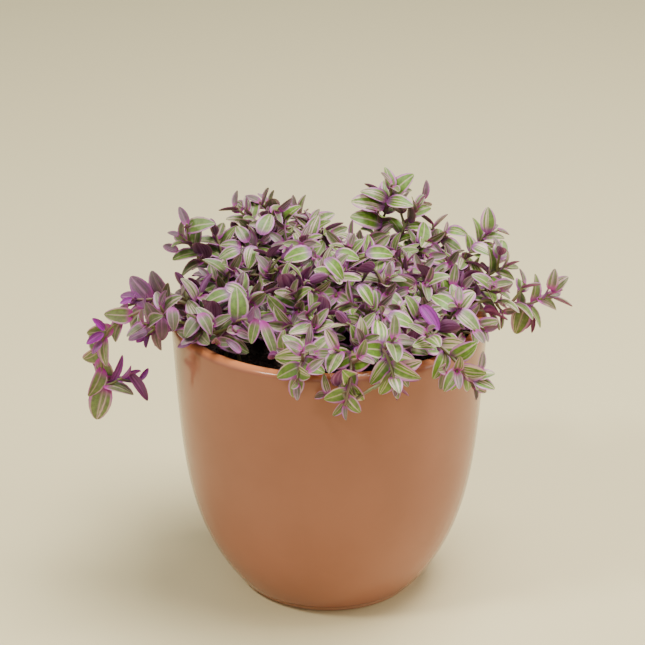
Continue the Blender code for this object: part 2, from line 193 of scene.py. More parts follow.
# Single leaves that only the dressed plant has, where the photograph shows one: owner, base and tip,
# and for some how far they are flushed with magenta and which form they have
SINGLE_TRIES = 14
SINGLE_PULL = Vector((0.1, -0.6, 0.8))
SINGLE_LEAVES = [
    ("right_lip", (37, -37, 15), (44, -44, 8), 1.7, 3),
    ("high_shoot", (23.8, 42, 32.7), (10.2, 40, 36.7)),
    ("high_shoot", (26.9, 44, 35.2), (35.5, 43, 44.8)),
    ("high_shoot", (22.6, 41, 23.7), (9.8, 38, 29)),
    ("high_shoot", (25.1, 43, 34.7), (14.6, 42, 40.1), 0.3, None),
    ("high_shoot", (24.7, 41, 30.3), (35, 36, 30.7)),
    ("right_back", (51.6, 42, 19.6), (59.8, 38, 20.2)),
    ("right_back", (49.9, 41, 17.2), (58, 36, 14.4), 0.2, None),
    ("left_back", (-61.9, 25, 28.3), (-50.1, 23, 32.7)),
    ("right_peak", (67.8, 28, 23), (68.1, 30, 33.4), 0.3, None),
    ("right_peak", (61.4, 27, 16), (69.8, 22, 14.2)),
    ("left_lip", (-69.6, -29, 5.7), (-69.4, -31, -3.8), 0.4, None),
    ("left_lip", (-75.8, -31, 3), (-83, -34, 1.1), 0.4, None),
    ("left_lip", (-66, -27, 5.8), (-64.6, -33, -1.1)),
    ("left_trail", (-95, -18, -3.5), (-101.9, -21, -6.7), 1.2, 3),
    ("left_trail", (-94.6, -17, -2.5), (-98.8, -19, 3.3), 1.2, 3),
    ("left_trail", (-95.8, -19, -6.7), (-99.5, -22, -10.9), 0.8, 3),
    ("right_trail", (94.9, 8, 5.4), (100.9, 7, 12.3), 0.2, None),
    ("right_trail", (93.9, 7, 4.9), (95.2, 6, 13.6), 0.5, None),
    ("front_right", (57.4, -66, -3.8), (65.7, -68, -6)),
    ("front_right", (57.8, -65, -2.5), (65.3, -66, -0.3)),
    ("left_front", (-27.3, -46, 14.7), (-21.2, -54, 2.3), 0.2, 4),
    ("left_front", (-29.8, -46, 15.6), (-31.8, -50, 6.7), 0, 3),
    ("left_front", (-36.3, -50, 3.2), (-41.9, -48, 8.0), 0.8, 3),
    ("crown_10", (-32.4, 10, 26), (-34.3, 2.2, 19.8)),
    ("crown_10", (-38.7, 13.5, 23.2), (-47.1, 9.5, 21.1)),
    ("crown_10", (-38.1, 16.5, 23.7), (-46.9, 16.8, 25), 0.3, None),
    ("crown_10", (-35.3, 17, 25.5), (-39.6, 23.2, 31.3), 0.3, None),
    ("peak_middle", (-29.2, 18.5, 28.6), (-25.2, 27.2, 35.3), 0.2, None),
    ("crown_01", (-7.9, -7, 30.3), (-18.8, -10.5, 28.8)),
    ("crown_01", (2.8, -9.5, 30.3), (12.7, -9.8, 28.8)),
    ("crown_06", (15.7, -7, 29.3), (27, -5.2, 29.2)),
    ("crown_03", (-1.9, -19.5, 28.8), (5.4, -25, 23.2)),
    ("crown_11", (11.9, -32.5, 24.1), (17.7, -38.2, 18.7)),
    ("crown_24", (20.3, -57, 10.3), (19.5, -48, 17.8)),
    ("front_right", (24.1, -43.5, 16.7), (34.6, -46, 13.4)),
    ("crown_27", (51.8, -26, 12), (42.5, -21.5, 17.1)),
    ("crown_27", (53.5, -23, 11.8), (60.9, -16.2, 16.4)),
    ("right_lip", (52.8, -28, 10.9), (61.7, -33.8, 5)),
    ("crown_13", (-41.4, -23, 18.1), (-52, -27.8, 15.8)),
    ("crown_13", (-43.3, -24, 17.1), (-34.5, -26, 14.3)),
    ("left_front", (-54.3, -33, 7.3), (-59.5, -40, 2.2), 0.2, None),
    ("left_front", (-53.9, -33, 7.3), (-48.9, -39, 1.8), 0.2, None),
]

# Where the left trail ends in a rosette of narrow, flushed leaves
NARROW_SPOT = Vector((-84.0, -20.0, 104.0)) * MM
NARROW_RADIUS = 9.0 * MM
NARROW_FLUSH = 0.8

# Stems whose leaves the sun has flushed
STEM_FLUSH = {
    "left_trail": 0.45, "left_reach": 0.9, "left_lip": 0.7, "left_front": 0.3,
    "right_trail": 0.4, "right_lip": 0.3,
}

# How much more flushed, and how much greener, the leaves are towards the left of the mound
LEFT_FLUSH = 0.22
LEFT_TONE = 0.25

# After how many leaves, from a shoot's tip down, the flush of youth has faded to about a third
YOUTH_FADE = 2.2

# The dressed stems
FINE_STEP = 2.4 * MM
TIP_RADIUS = 0.5 * MM
SWELLINGS = (0.92, 1.22)
STEM_SIDES = 8

# Colours that aren't settings
BARE_CLAY = (0.50, 0.24, 0.13)
THIN_GLAZE_GAINS = (1.75, 1.50, 0.80)
DRIER_SOIL = (0.055, 0.034, 0.022)
BROWN_CRUMB = (0.14, 0.085, 0.05)
HEART_MAGENTA = (0.47, 0.025, 0.31)
PALE_MAUVE = (0.36, 0.15, 0.29)
# Painted shade: a near-black purple that darkens the leaves on the left of the mound
PAINTED_SHADE_PURPLE = (0.02, 0.006, 0.016)
OLIVE = (0.16, 0.15, 0.045)
BROWN_FLUSH = (0.19, 0.085, 0.085)
MOTTLE_RATIO = 6.0
MOTTLE_DETAIL = 2.0

# The stage's light: each lamp's name, place, size, power and colour
SKY_COLOUR = (0.86, 0.90, 0.88)
SKY_STRENGTH = 0.29
LIGHT_TARGET = Vector((0, 0, 0.1))
LIGHTS = [
    ("left_window", (-1.3, -0.4, 0.9), (0.7, 1.2), 2.0, (1.0, 0.99, 0.95)),
    ("right_window", (1.3, -0.3, 0.8), (0.9, 1.2), 11.5, (1.0, 0.98, 0.92)),
    ("overhead", (0.36, 0.04, 1.45), (0.9, 0.7), 36.0, (1.0, 1.0, 0.98)),
    ("front", (0.2, -1.3, 0.9), (1.1, 0.8), 2.6, (1.0, 0.99, 0.98)),
    ("lamp", (-0.69, -0.52, 1.1), (0.22, 0.08), 8.5, (1.0, 0.99, 0.94)),
]

# Which piece of the dressed plant each CAD node belongs to, by the start of its name
GROUPS = {
    "left_foliage": ("left_",),
    "right_foliage": ("right_",),
    "front_foliage": ("front_",),
    "back_foliage": ("back_", "peak_", "high_"),
    "crown_inner_foliage": ("crown_0",),
    "crown_outer_foliage": ("crown_1", "crown_2"),
}


# The settings

def colour_setting(name, description, default):
    """A colour that a user would change."""
    return FloatVectorProperty(
        name=name, description=description, default=default, subtype="COLOR", size=3, min=0, max=1
    )


def length_setting(name, description, default):
    """A length that a user would change."""
    return FloatProperty(name=name, description=description, default=default, unit="LENGTH")


class PotSettings(bpy.types.PropertyGroup):
    """Sizes and colours of the pot."""

    steps: IntProperty(name="Steps", description="Sides of the turned pot", default=144, min=24, max=256)
    glaze: colour_setting("Glaze", "Colour of the glaze", (0.324, 0.127, 0.077))
    glaze_roughness: FloatProperty(
        name="Glaze roughness", description="How blurred its reflections are", default=0.16, min=0, max=1
    )


class SoilSettings(bpy.types.PropertyGroup):
    """Sizes and colours of the potting soil."""

    crumbs: IntProperty(name="Crumbs", description="How many crumbs lie on the soil", default=1400, min=0)
    crumb_size: length_setting("Crumb size", "Radius of a large crumb", 1.5 * MM)
    colour: colour_setting("Colour", "Colour of moist soil", (0.022, 0.014, 0.010))


class FoliageSettings(bpy.types.PropertyGroup):
    """Sizes and colours of the stems and leaves."""

    thickness: length_setting("Leaf thickness", "Thickness of a leaf at its rib", 0.45 * MM)
    green: colour_setting("Green", "Colour of the leaf's green bands", (0.18, 0.345, 0.022))
    cream: colour_setting("Cream", "Colour of the leaf's pale bands", (0.70, 0.52, 0.375))
    pink: colour_setting("Pink", "Colour of the leaf's margin", (0.63, 0.22, 0.49))
    magenta: colour_setting("Magenta", "Colour of young leaves and leaf bases", (0.29, 0.012, 0.27))
    mauve: colour_setting("Mauve", "Colour of the leaf's underside", (0.20, 0.038, 0.145))


class StageSettings(bpy.types.PropertyGroup):
    """The camera and the floor."""

    distance: length_setting("Distance", "From the pot's axis to the camera along Y", 0.9)
    height: length_setting("Height", "Camera's height", 0.498)
    tilt: FloatProperty(
        name="Tilt", description="How far the camera looks down", default=0.3985, subtype="ANGLE"
    )
    aside: length_setting("Aside", "Camera's place to the left", 0.0029)
    lens: FloatProperty(name="Lens", description="Focal length in millimetres", default=127.7)
    floor: colour_setting("Floor", "Colour of the floor", (0.78, 0.67, 0.38))


# Meshes, materials and node trees

def add_object(name, data):
    """A new object for this mesh, light or camera, linked to the scene."""
    piece = bpy.data.objects.new(name, data)
    bpy.context.scene.collection.objects.link(piece)
    return piece


def made_plain(piece):
    """Turn what the piece's modifiers make into its own mesh, and take the modifiers off."""
    bpy.context.view_layer.update()
    graph = bpy.context.evaluated_depsgraph_get()
    mesh = bpy.data.meshes.new_from_object(piece.evaluated_get(graph), depsgraph=graph)
    piece.modifiers.clear()
    piece.data = mesh


def mesh_of(work, name):
    """The mesh of this bmesh, which is freed."""
    mesh = bpy.data.meshes.new(name)
    work.to_mesh(mesh)
    work.free()
    return mesh


def turned(name, profile, steps):
    """A smooth solid turned round Z, from (radius, height) points that run down its outer side."""
    mesh = bpy.data.meshes.new(name)
    points = [(radius, 0.0, height) for radius, height in profile]
    mesh.from_pydata(points, [(i, i + 1) for i in range(len(points) - 1)], [])
    piece = add_object(name, mesh)
    screw = piece.modifiers.new("Turn", "SCREW")
    screw.steps = steps
    screw.render_steps = steps
    screw.use_merge_vertices = True
    screw.merge_threshold = 0.01 * MM
    screw.use_smooth_shade = True
    return piece


def new_material(name):
    """A Principled material, with its node tree and its shader."""
    material = bpy.data.materials.new(name)
    material.use_nodes = True
    return material, material.node_tree, material.node_tree.nodes["Principled BSDF"]


def feed(tree, node, sources):
    """Set the node's inputs, or link them where the source is a socket or a node's first output."""
    for key, source in sources.items():
        if isinstance(source, bpy.types.Node):
            source = source.outputs[0]
        if isinstance(source, bpy.types.NodeSocket):
            tree.links.new(source, node.inputs[key])
        else:
            node.inputs[key].default_value = source


def add_node(tree, kind, sources=None, **settings):
    """A node with these settings and these inputs."""
    node = tree.nodes.new(kind)
    for key, value in settings.items():
        setattr(node, key, value)
    feed(tree, node, sources or {})
    return node


def add_sockets(tree, inputs, outputs):
    """Named inputs and outputs for the tree, each with its kind."""
    for way, sockets in (("INPUT", inputs), ("OUTPUT", outputs)):
        for name, kind in sockets.items():
            tree.interface.new_socket(name, in_out=way, socket_type="NodeSocket" + kind)


def maths(tree, operation, first, second=0.0):
    """The result of one sum."""
    return add_node(tree, "ShaderNodeMath", {0: first, 1: second}, operation=operation).outputs[0]


def times(tree, first, second):
    """The product of two values."""
    return maths(tree, "MULTIPLY", first, second)


def ramp(tree, value, low, high):
    """A smooth step of the value from 0 at low to 1 at high."""
    sources = {"Value": value, "From Min": low, "From Max": high}
    return add_node(tree, "ShaderNodeMapRange", sources, interpolation_type="SMOOTHSTEP").outputs["Result"]


def blend(tree, share, first, second):
    """A mix of two colours, each a socket or three numbers."""
    colours = [c if isinstance(c, bpy.types.NodeSocket) else (*c, 1.0) for c in (first, second)]
    sources = {0: share, 6: colours[0], 7: colours[1]}
    return add_node(tree, "ShaderNodeMix", sources, data_type="RGBA").outputs[2]


def object_place(tree):
    """The place on the object, which sits at the origin."""
    return add_node(tree, "ShaderNodeTexCoord").outputs["Object"]


def noise(tree, place, scale, detail):
    """Soft patches between 0 and 1."""
    sources = {"Vector": place, "Scale": scale, "Detail": detail}
    return add_node(tree, "ShaderNodeTexNoise", sources).outputs["Fac"]


def attribute(tree, name):
    """A named value of the mesh."""
    return add_node(tree, "ShaderNodeAttribute", attribute_name=name).outputs["Fac"]


def mottle_group():
    """Soft patches of two sizes, which the glaze, the soil, the stems and the leaves share."""
    group = bpy.data.node_groups.get("Mottle")
    if group:
        return group
    group = bpy.data.node_groups.new("Mottle", "ShaderNodeTree")
    add_sockets(group, {"Scale": "Float", "Fine share": "Float"}, {"Value": "Float"})
    inside = add_node(group, "NodeGroupInput").outputs
    place = object_place(group)
    broad = noise(group, place, inside["Scale"], MOTTLE_DETAIL)
    fine = noise(group, place, times(group, inside["Scale"], MOTTLE_RATIO), MOTTLE_DETAIL)
    mix = add_node(group, "ShaderNodeMix", {0: inside["Fine share"], 2: broad, 3: fine}, data_type="FLOAT")
    add_node(group, "NodeGroupOutput", {"Value": mix})
    return group


def mottle(tree, scale, fine_share):
    """The shared patches in a material, at this scale."""
    sources = {"Scale": scale, "Fine share": fine_share}
    return add_node(tree, "ShaderNodeGroup", sources, node_tree=mottle_group()).outputs["Value"]


def bump(tree, shader, height, strength, distance):
    """Raise the surface by this height."""
    node = add_node(tree, "ShaderNodeBump", {"Height": height, "Strength": strength, "Distance": distance})
    tree.links.new(node.outputs["Normal"], shader.inputs["Normal"])


# The pot

def outer_radius(height):
    """The pot's outside radius at a height: a full belly that ends in a slight flare."""
    share = min(max(height / POT_HEIGHT, 0.0), 1.0)
    swell = BELLY_SHARE * (1 - (1 - share) ** BELLY_POWER) + (1 - BELLY_SHARE) * share
    return FOOT_RADIUS + (RIM_RADIUS - FOOT_RADIUS) * swell


def inner_radius(height):
    """The pot's inside radius: the outside less the wall."""
    return outer_radius(height) - WALL


def arc(radius, height, size, start, stop, count):
    """Points on an arc round (radius, height), from one angle in degrees to another."""
    angles = [math.radians(start + (stop - start) * i / count) for i in range(count + 1)]
    return [(radius + size * math.cos(a), height + size * math.sin(a)) for a in angles]


def pot_profile():
    """From the middle of the inside floor, up the wall, over the rim and down to the foot's edge."""
    top = POT_HEIGHT - WALL / 2
    heights = [BODY_START + (top - BODY_START) * (i / WALL_LEVELS) ** 1.5 for i in range(WALL_LEVELS)]
    inside = [(0.0, FLOOR)] + [(inner_radius(z), z) for z in heights if z > FLOOR]
    rim = arc(RIM_RADIUS - WALL / 2, top, WALL / 2, 180, 0, 14)
    outside = [(outer_radius(z), z) for z in reversed(heights)]
    neck = FOOT_RADIUS - FOOT_GROOVE
    groove = [(neck + 0.1 * MM, GROOVE_HEIGHT)]
    bead = arc(neck, FOOT_HEIGHT - 0.5 * MM, FOOT_GROOVE, 60, 0, 3)
    foot = arc(neck, FOOT_ROUND, FOOT_ROUND, 0, -90, 4)
    return inside + rim + outside + groove + bead + foot + [(0.0, 0.0)]


def glaze_material(settings):
    """Terracotta-coloured glaze: glossy, a little uneven, thinner and lighter on the lip."""
    material, tree, shader = new_material("terracotta_glaze")
    height = add_node(tree, "ShaderNodeSeparateXYZ", {0: object_place(tree)}).outputs["Z"]
    deep = [c * 0.955 for c in settings.glaze]
    light = [min(1.0, c * 1.035) for c in settings.glaze]
    thin = [min(1.0, c * gain) for c, gain in zip(settings.glaze, THIN_GLAZE_GAINS)]
    body = blend(tree, ramp(tree, mottle(tree, 26.0, 0.15), 0.35, 0.65), deep, light)
    lip = ramp(tree, height, POT_HEIGHT - 2.2 * MM, POT_HEIGHT - 0.4 * MM)
    glazed = blend(tree, times(tree, lip, 0.8), body, thin)
    foot = ramp(tree, height, GROOVE_HEIGHT, GROOVE_HEIGHT - 1.0 * MM)
    feed(tree, shader, {
        "Base Color": blend(tree, foot, glazed, BARE_CLAY), "IOR": 1.36,
        "Roughness": maths(tree, "ADD", times(tree, foot, 0.35), settings.glaze_roughness),
    })
    bump(tree, shader, mottle(tree, 60.0, 0.3), 0.12, 0.3 * MM)
    return material


class MakePot(bpy.types.Operator):
    """Turn the pot on a fine profile and glaze it"""

    bl_idname = "turtle_vine.make_pot"
    bl_label = "Make the pot"

    def execute(self, context):
        settings = context.scene.vine_pot
        pot = turned("glazed_pot", pot_profile(), settings.steps)
        made_plain(pot)
        pot.data.materials.append(glaze_material(settings))
        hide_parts("pot")
        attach(pot, "root")
        return {"FINISHED"}


# The soil

def soil_height(radius):
    """The soil's surface: a low dome."""
    return SOIL_EDGE + SOIL_DOME * (1 - (radius / inner_radius(SOIL_EDGE)) ** 2)


def soil_profile():
    """A fine dome, then the side and the underside."""
    edge = inner_radius(SOIL_EDGE) - SEAT_GAP
    rings = [edge * i / DOME_RINGS for i in range(DOME_RINGS + 1)]
    levels = [SOIL_EDGE - (SOIL_EDGE - FLOOR) * i / SOIL_LEVELS for i in range(1, SOIL_LEVELS)]
    low = FLOOR + SEAT_GAP
    side = [(inner_radius(z) - SEAT_GAP, z) for z in [*levels, low]]
    return [(radius, soil_height(radius)) for radius in rings] + side + [(0.0, low)]


def soil_material(settings):
    """Moist soil, near black, with some brown crumbs."""
    material, tree, shader = new_material("moist_soil")
    dark = blend(tree, ramp(tree, mottle(tree, 90.0, 0.6), 0.35, 0.7), settings.colour, DRIER_SOIL)
    brown = ramp(tree, attribute(tree, "tint"), 0.72, 0.95)
    feed(tree, shader, {"Base Color": blend(tree, brown, dark, BROWN_CRUMB), "Roughness": 0.92})
    bump(tree, shader, mottle(tree, 160.0, 0.7), 0.7, 0.8 * MM)
    return material


def crumb():
    """One rough lump of soil."""
    work = bmesh.new()
    bmesh.ops.create_icosphere(work, subdivisions=1, radius=1.0)
    draw = random.Random(SEED + 5)
    for vertex in work.verts:
        vertex.co *= draw.uniform(0.6, 1.15)
        vertex.co.z *= 0.7
    return add_object("crumb", mesh_of(work, "crumb"))


def join(tree, *parts):
    """These geometries as one."""
    node = add_node(tree, "GeometryNodeJoinGeometry")
    for part in parts:
        feed(tree, node, {0: part})
    return node


def random_value(tree, low, high, seed):
    """A random number for each point or instance."""
    sources = {2: low, 3: high, "Seed": seed}
    return add_node(tree, "FunctionNodeRandomValue", sources, data_type="FLOAT").outputs[1]


def soil_tree(lump, material):
    """Geometry nodes that roughen the soil's dome and strew crumbs over it."""
    tree = bpy.data.node_groups.new("Strewn soil", "GeometryNodeTree")
    inputs = {"Geometry": "Geometry", "Crumbs": "Int", "Crumb size": "Float"}
    add_sockets(tree, inputs, {"Geometry": "Geometry"})
    inside = add_node(tree, "NodeGroupInput").outputs
    place = add_node(tree, "GeometryNodeInputPosition").outputs[0]
    level = add_node(tree, "ShaderNodeSeparateXYZ", {0: place}).outputs["Z"]
    limits = {0: level, 1: SOIL_EDGE - 0.05 * MM}
    on_top = add_node(tree, "FunctionNodeCompare", limits, operation="GREATER_THAN")
    lift = times(tree, maths(tree, "SUBTRACT", noise(tree, place, 190.0, 3.0), 0.58), SOIL_ROUGHNESS)
    shift = add_node(tree, "ShaderNodeCombineXYZ", {"Z": lift})
    rough = add_node(
        tree, "GeometryNodeSetPosition", {"Geometry": inside[0], "Selection": on_top, "Offset": shift}
    )
    density = maths(tree, "DIVIDE", inside["Crumbs"], math.pi * inner_radius(SOIL_EDGE) ** 2)
    strewn = add_node(
        tree, "GeometryNodeDistributePointsOnFaces",
        {"Mesh": rough, "Selection": on_top, "Density": density, "Seed": SEED},
    )
    scale = times(tree, random_value(tree, 0.25, 1.0, SEED), inside["Crumb size"])
    turns = {1: MOST_TURNED, "Seed": SEED + 1}
    turn = add_node(tree, "FunctionNodeRandomValue", turns, data_type="FLOAT_VECTOR")
    lumps = add_node(tree, "GeometryNodeObjectInfo", {"Object": lump}).outputs["Geometry"]
    placed = add_node(
        tree, "GeometryNodeInstanceOnPoints",
        {"Points": strewn, "Instance": lumps, "Rotation": turn, "Scale": scale},
    )
    marked = add_node(
        tree, "GeometryNodeStoreNamedAttribute",
        {"Geometry": placed, "Name": "tint", "Value": random_value(tree, 0.0, 1.0, SEED + 2)},
        data_type="FLOAT", domain="INSTANCE",
    )
    real = add_node(tree, "GeometryNodeRealizeInstances", {0: join(tree, marked, rough)})
    finished = add_node(tree, "GeometryNodeSetMaterial", {"Geometry": real, "Material": material})
    add_node(tree, "NodeGroupOutput", {0: finished})
    return tree


def use_tree(piece, tree, **values):
    """Put a geometry node tree on the piece, with its inputs set by their sockets' identifiers."""
    modifier = piece.modifiers.new(tree.name, "NODES")
    modifier.node_group = tree
    for item in tree.interface.items_tree:
        if item.in_out == "INPUT" and item.name in values:
            modifier[item.identifier] = values[item.name]


class MakeSoil(bpy.types.Operator):
    """Lay the soil in the pot and strew crumbs over it"""

    bl_idname = "turtle_vine.make_soil"
    bl_label = "Make the soil"

    def execute(self, context):
        settings = context.scene.vine_soil
        lump = crumb()
        soil = turned("crumbly_soil", soil_profile(), SOIL_STEPS)
        tree = soil_tree(lump, soil_material(settings))
        use_tree(soil, tree, **{"Crumbs": settings.crumbs, "Crumb size": settings.crumb_size})
        made_plain(soil)
        bpy.data.objects.remove(lump)
        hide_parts("soil")
        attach(soil, "root")
        return {"FINISHED"}


# Where the stems go

def toward(angle):
    """One metre in this direction."""
    return Vector((math.cos(angle), math.sin(angle), 0.0))


def over_rim(place):
    """A point from (x, y, height over the rim) in millimetres."""
    x, y, height = place
    return Vector((x * MM, y * MM, POT_HEIGHT + height * MM))


def curve(ends, step):
    """Points about a step apart, after the second of these and up to the last but one."""
    points = []
    for before, start, stop, after in zip(ends, ends[1:], ends[2:], ends[3:]):
        count = max(1, round((stop - start).length / step))
        for i in range(1, count + 1):
            t = i / count
            pull = (stop - before) * t
            bend = (2 * before - 5 * start + 4 * stop - after) * t ** 2
            ease = (3 * start - before - 3 * stop + after) * t ** 3
            points.append(start + 0.5 * (pull + bend + ease))
    return points


def smooth_line(points, step):
    """Points about a step apart on a smooth curve through these ones, after a first straight run."""
    return [points[0], points[1], *curve([*points, points[-1] * 2 - points[-2]], step)]


def rooted_line(root, above):
    """A stem's line from the foot of its hole, up through the soil, and on through the points above it."""
    surface = soil_height(root.length)
    foot = root + Vector((0, 0, surface - ROOT_DEPTH))
    collar = root + Vector((0, 0, surface + ROOT_COLLAR))
    return smooth_line([foot, collar, *above], STEM_STEP)


def mound_lift(place):
    """The mound's height over the rim at a place: a dome with ridges on it."""
    lift = CROWN_EDGE + (CROWN_TOP - CROWN_EDGE) * (1 - (place.length / CROWN_RADIUS) ** 2)
    for (x, y), height, width in RIDGES:
        away = (place - Vector((x, y, 0)) * MM).length / (width * MM)
        lift += height * MM * math.exp(-away ** 2)
    return lift


def crown_routes():
    """The mound's short stems: tips on a sunflower's spiral, each leaning out from its root."""
    draw = random.Random(SEED)
    routes = {}
    for i in range(CROWN_STEMS):
        reach = CROWN_RADIUS * math.sqrt((i + 0.5) / CROWN_STEMS)
        out = toward(i * GOLDEN_ANGLE)
        lift = mound_lift(out * reach) + draw.uniform(-3, 4) * MM
        sway = Vector((draw.uniform(-2, 2), draw.uniform(-2, 2), 0.0)) * MM
        bend = out * reach * CROWN_BEND_SHARE + sway + Vector((0, 0, POT_HEIGHT + 0.45 * lift))
        tip = out * reach + Vector((0, 0, POT_HEIGHT + lift))
        if (tip.xy - BARE_SPOT).length > BARE_RADIUS:
            routes[f"crown_{i + 1:02d}"] = (out * reach * CROWN_ROOT_SHARE, [bend, tip])
    return routes


def long_routes():
    """The longer stems' routes, in metres."""
    return {
        name: (Vector((*root, 0)) * MM, [over_rim(point) for point in points])
        for name, (root, *points) in LONG_STEMS.items()
    }


def line_length(line):
    """The length along a line."""
    return sum((stop - start).length for start, stop in zip(line, line[1:]))


def beads(line):
    """Points closely spaced along the line, as an array."""
    points = []
    for start, stop in zip(line, line[1:]):
        count = math.ceil((stop - start).length / BEAD_STEP)
        points += [start.lerp(stop, i / count) for i in range(count)]
    return np.array([*points, line[-1]])


def clears_pot(points, gap):
    """True if all these points keep this far off the pot's wall and rim and off the soil."""
    for point in points:
        radius = math.hypot(point[0], point[1])
        if point[2] > POT_HEIGHT + gap:
            continue
        outside = radius > outer_radius(point[2]) + gap
        inside = radius < inner_radius(point[2]) - gap and point[2] > soil_height(radius) + gap
        if not (outside or inside):
            return False
    return True


def lay_stems():
    """Each stem's line, by name. A root, or a whole short stem, moves about until it is clear."""
    draw = random.Random(SEED + 1)
    lines = {}
    taken = np.full((1, 3), 10.0)
    for name, (root, above) in {**long_routes(), **crown_routes()}.items():
        for attempt in range(ROOT_TRIES):
            shift = toward(draw.uniform(0, 2 * math.pi)) * ROOT_SHIFT * attempt
            moved = above if name in LONG_STEMS else [point + shift for point in above]
            line = rooted_line(root + shift, moved)
            own = beads(line)
            apart = np.linalg.norm(own[:, None] - taken[None], axis=2).min()
            over_soil = own[np.linalg.norm(own - own[0], axis=1) > ROOT_DEPTH + ROOT_COLLAR]
            if apart > STEM_CLEARANCE and clears_pot(over_soil, STEM_RADIUS + POT_GAP / 2):
                lines[name] = line
                taken = np.vstack([taken, own])
                break
    return lines


def side_lines(lines):
    """Short side shoots that fill the mound, each from the nearest stem to a place of its own."""
    draw = random.Random(SEED + 3)
    owners = [name for name, line in lines.items() for _ in beads(line)]
    taken = np.vstack([beads(line) for line in lines.values()])
    heights = taken[:, 2]
    tips = [line[-1] for line in lines.values()]
    shoots = {}
    for i in range(SIDE_SHOOTS):
        reach = SIDE_RADIUS * math.sqrt((i + 0.5) / SIDE_SHOOTS)
        place = toward(i * GOLDEN_ANGLE + 1.0) * reach
        lift = mound_lift(place) + draw.uniform(-6, 2) * MM
        tip = place + Vector((0, 0, POT_HEIGHT + lift))
        crowded = any((tip - other).length < SIDE_SPACING for other in tips)
        if crowded or (tip.xy - BARE_SPOT).length < SIDE_BARE_RADIUS:
            continue
        away = np.linalg.norm(taken - np.array(tip), axis=1)
        low = (heights < tip.z - 4 * MM) & (heights > POT_HEIGHT - 8 * MM) & (away > SIDE_LENGTHS[0])
        if not low.any():
            continue
        nearest = np.flatnonzero(low)[away[low].argmin()]
        if away[nearest] > SIDE_LENGTHS[1]:
            continue
        start = Vector(taken[nearest])
        sway = Vector((draw.uniform(-1.5, 1.5), draw.uniform(-1.5, 1.5), draw.uniform(1, 3))) * MM
        bends = [start.lerp(tip, 0.3) + sway * 0.5, start.lerp(tip, 0.65) + sway]
        line = smooth_line([start, *bends, tip], SIDE_STEP)
        if clears_pot(line, SIDE_STEM_RADIUS):
            shoots[f"{owners[nearest]}.side_{i:03d}"] = line
            tips.append(tip)
    return shoots


def twig_lines(lines):
    """Short twigs that thicken the longer stems near their tips."""
    draw = random.Random(SEED + 7)
    twigs = {}
    for name in LONG_STEMS:
        for i, back in enumerate(TWIG_PLACES):
            base, way = back_from_tip(lines[name], back * MM)
            angle = draw.uniform(0, 2 * math.pi)
            length = draw.uniform(*TWIG_LENGTHS)
            if base is None or (name, i) in BARE_TWIGS:
                continue
            aside = Matrix.Rotation(angle, 3, way) @ way.orthogonal().normalized()
            out = (way * 0.6 + aside * 0.8 + Vector((0, 0, 0.25))).normalized()
            tip = base + out * length + Vector((0, 0, 1.0 * MM))
            line = smooth_line([base, base + out * length * 0.5, tip], TWIG_STEP)
            if clears_pot(line, SIDE_STEM_RADIUS + POT_GAP):
                twigs[f"{name}.twig_{i}"] = line
    return twigs


# Where the leaves go

def blade_template():
    """A three-sided ball along X: a ring for each section, with the keel's corners below."""
    work = bmesh.new()
    bmesh.ops.create_uvsphere(work, u_segments=3, v_segments=len(RING_PLACES) - 1, radius=1.0)
    upright = Matrix.Rotation(-math.pi / 2, 3, "X") @ Matrix.Rotation(math.pi / 2, 3, "Y")
    bmesh.ops.rotate(work, verts=work.verts, matrix=upright)
    bmesh.ops.triangulate(work, faces=work.faces)
    return mesh_of(work, "blade")


def blade_corners(template, length, margin):
    """Where a leaf of this length has its corners: widened, keeled along the rib and arched over."""
    corners = []
    for vertex in template.vertices:
        ring = round(math.acos(max(-1.0, min(1.0, -vertex.co.x))) / math.pi * (len(RING_PLACES) - 1))
        along = RING_PLACES[ring]
        half = RING_WIDTHS[ring] * LEAF_WIDTH * length / LEAF_LENGTH / 2 + margin
        arch = LEAF_ARCH * length * along * (ARCH_END - along)
        if RING_WIDTHS[ring] == 0:
            corners.append(Vector((along * length + math.copysign(margin, along), 0, arch)))
        elif abs(vertex.co.y) > abs(vertex.co.z):
            corners.append(Vector((along * length, math.copysign(half, vertex.co.y), arch + margin)))
        else:
            corners.append(Vector((along * length, 0, arch - LEAF_THICKNESS - margin)))
    return corners


def side_light(base):
    """Which way the added leaves turn: to the front, but further back more to the rear."""
    back = max(0.0, base.y - BACK_START) / (CROWN_RADIUS - BACK_START)
    return SIDE_PULL + Vector((0.5 * base.x / CROWN_RADIUS, REAR_PULL * back ** 1.5, 0))


def leaf_matrix(base, way, face):
    """X along the leaf's way, and Z, its upper face, as near to this direction as it can be."""
    across = face.cross(way).normalized()
    turn = Matrix((way, across, way.cross(across))).transposed()
    return Matrix.Translation(base) @ turn.to_4x4()


def leaf_place(base, stem_way, around, spread, light):
    """The matrix of a leaf on a stem, which turns most of the way to the light."""
    aside = stem_way.cross(Vector((0, 0, 1)))
    if aside.length < 0.05:
        aside = stem_way.cross(Vector((1, 0, 0)))
    aside = Matrix.Rotation(around, 3, stem_way) @ aside.normalized()
    way = stem_way * math.cos(spread) + aside * math.sin(spread)
    face = stem_way * math.sin(spread) - aside * math.cos(spread) + light
    return leaf_matrix(base, way, face)


def named_place(base, tip):
    """The matrix of a leaf from base to tip, turned to the light."""
    return leaf_matrix(base, (tip - base).normalized(), LIGHT_PULL)


def back_from_tip(line, distance):
    """The point this far back from the line's tip, and the way the stem grows there."""
    for start, stop in zip(line[-2:0:-1], line[:1:-1]):
        span = (stop - start).length
        if distance <= span:
            return stop.lerp(start, distance / span), (stop - start).normalized()
        distance -= span
    return None, None


